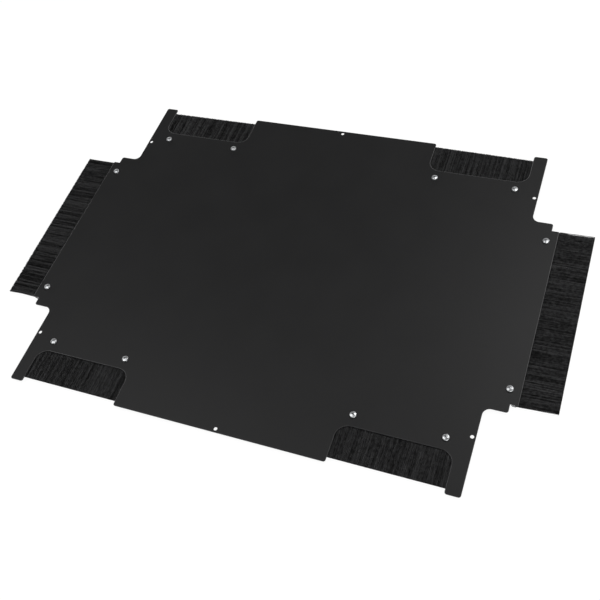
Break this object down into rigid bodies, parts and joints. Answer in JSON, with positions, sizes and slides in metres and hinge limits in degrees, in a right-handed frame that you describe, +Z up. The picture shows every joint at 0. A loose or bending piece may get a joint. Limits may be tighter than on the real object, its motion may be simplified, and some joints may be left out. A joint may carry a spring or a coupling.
{
  "type": "rack brush cable entry plate",
  "caption": "Flat black steel plate that closes the top or floor of an equipment rack, with clamped brush strips along notches and ends where cables pass through.",
  "frame": {"origin": "centre of the whole part's box in X and Y, at the lowest faces of the clamp bars in Z", "axes": "+X along the plate, +Y across it towards the rear notches, +Z up out of the face that the screw heads stand on"},
  "size_m": [0.9004, 0.6, 0.012],
  "materials": {
    "plate_coat": "fine-textured matt black powder coat",
    "bar_coat": "matt black powder coat",
    "bristle_nylon": "straight black nylon filaments with a dull sheen",
    "channel_steel": "galvanised",
    "fastener_zinc": "bright zinc-plated"
  },
  "bodies": {
    "root": {"plate": "plate_coat", "bristles_right_end": "bristle_nylon", "channel_right_end": "channel_steel", "core_wire_right_end": "channel_steel", "clamp_bar_right_end": "bar_coat", "bristles_left_end": "bristle_nylon", "channel_left_end": "channel_steel", "core_wire_left_end": "channel_steel", "clamp_bar_left_end": "bar_coat", "bristles_rear_right": "bristle_nylon", "channel_rear_right": "channel_steel", "core_wire_rear_right": "channel_steel", "clamp_bar_rear_right": "bar_coat", "bristles_rear_left": "bristle_nylon", "channel_rear_left": "channel_steel", "core_wire_rear_left": "channel_steel", "clamp_bar_rear_left": "bar_coat", "bristles_front_left": "bristle_nylon", "channel_front_left": "channel_steel", "core_wire_front_left": "channel_steel", "clamp_bar_front_left": "bar_coat", "bristles_front_right": "bristle_nylon", "channel_front_right": "channel_steel", "core_wire_front_right": "channel_steel", "clamp_bar_front_right": "bar_coat", "clamp_screws": "fastener_zinc"}
  },
  "joints": []
}
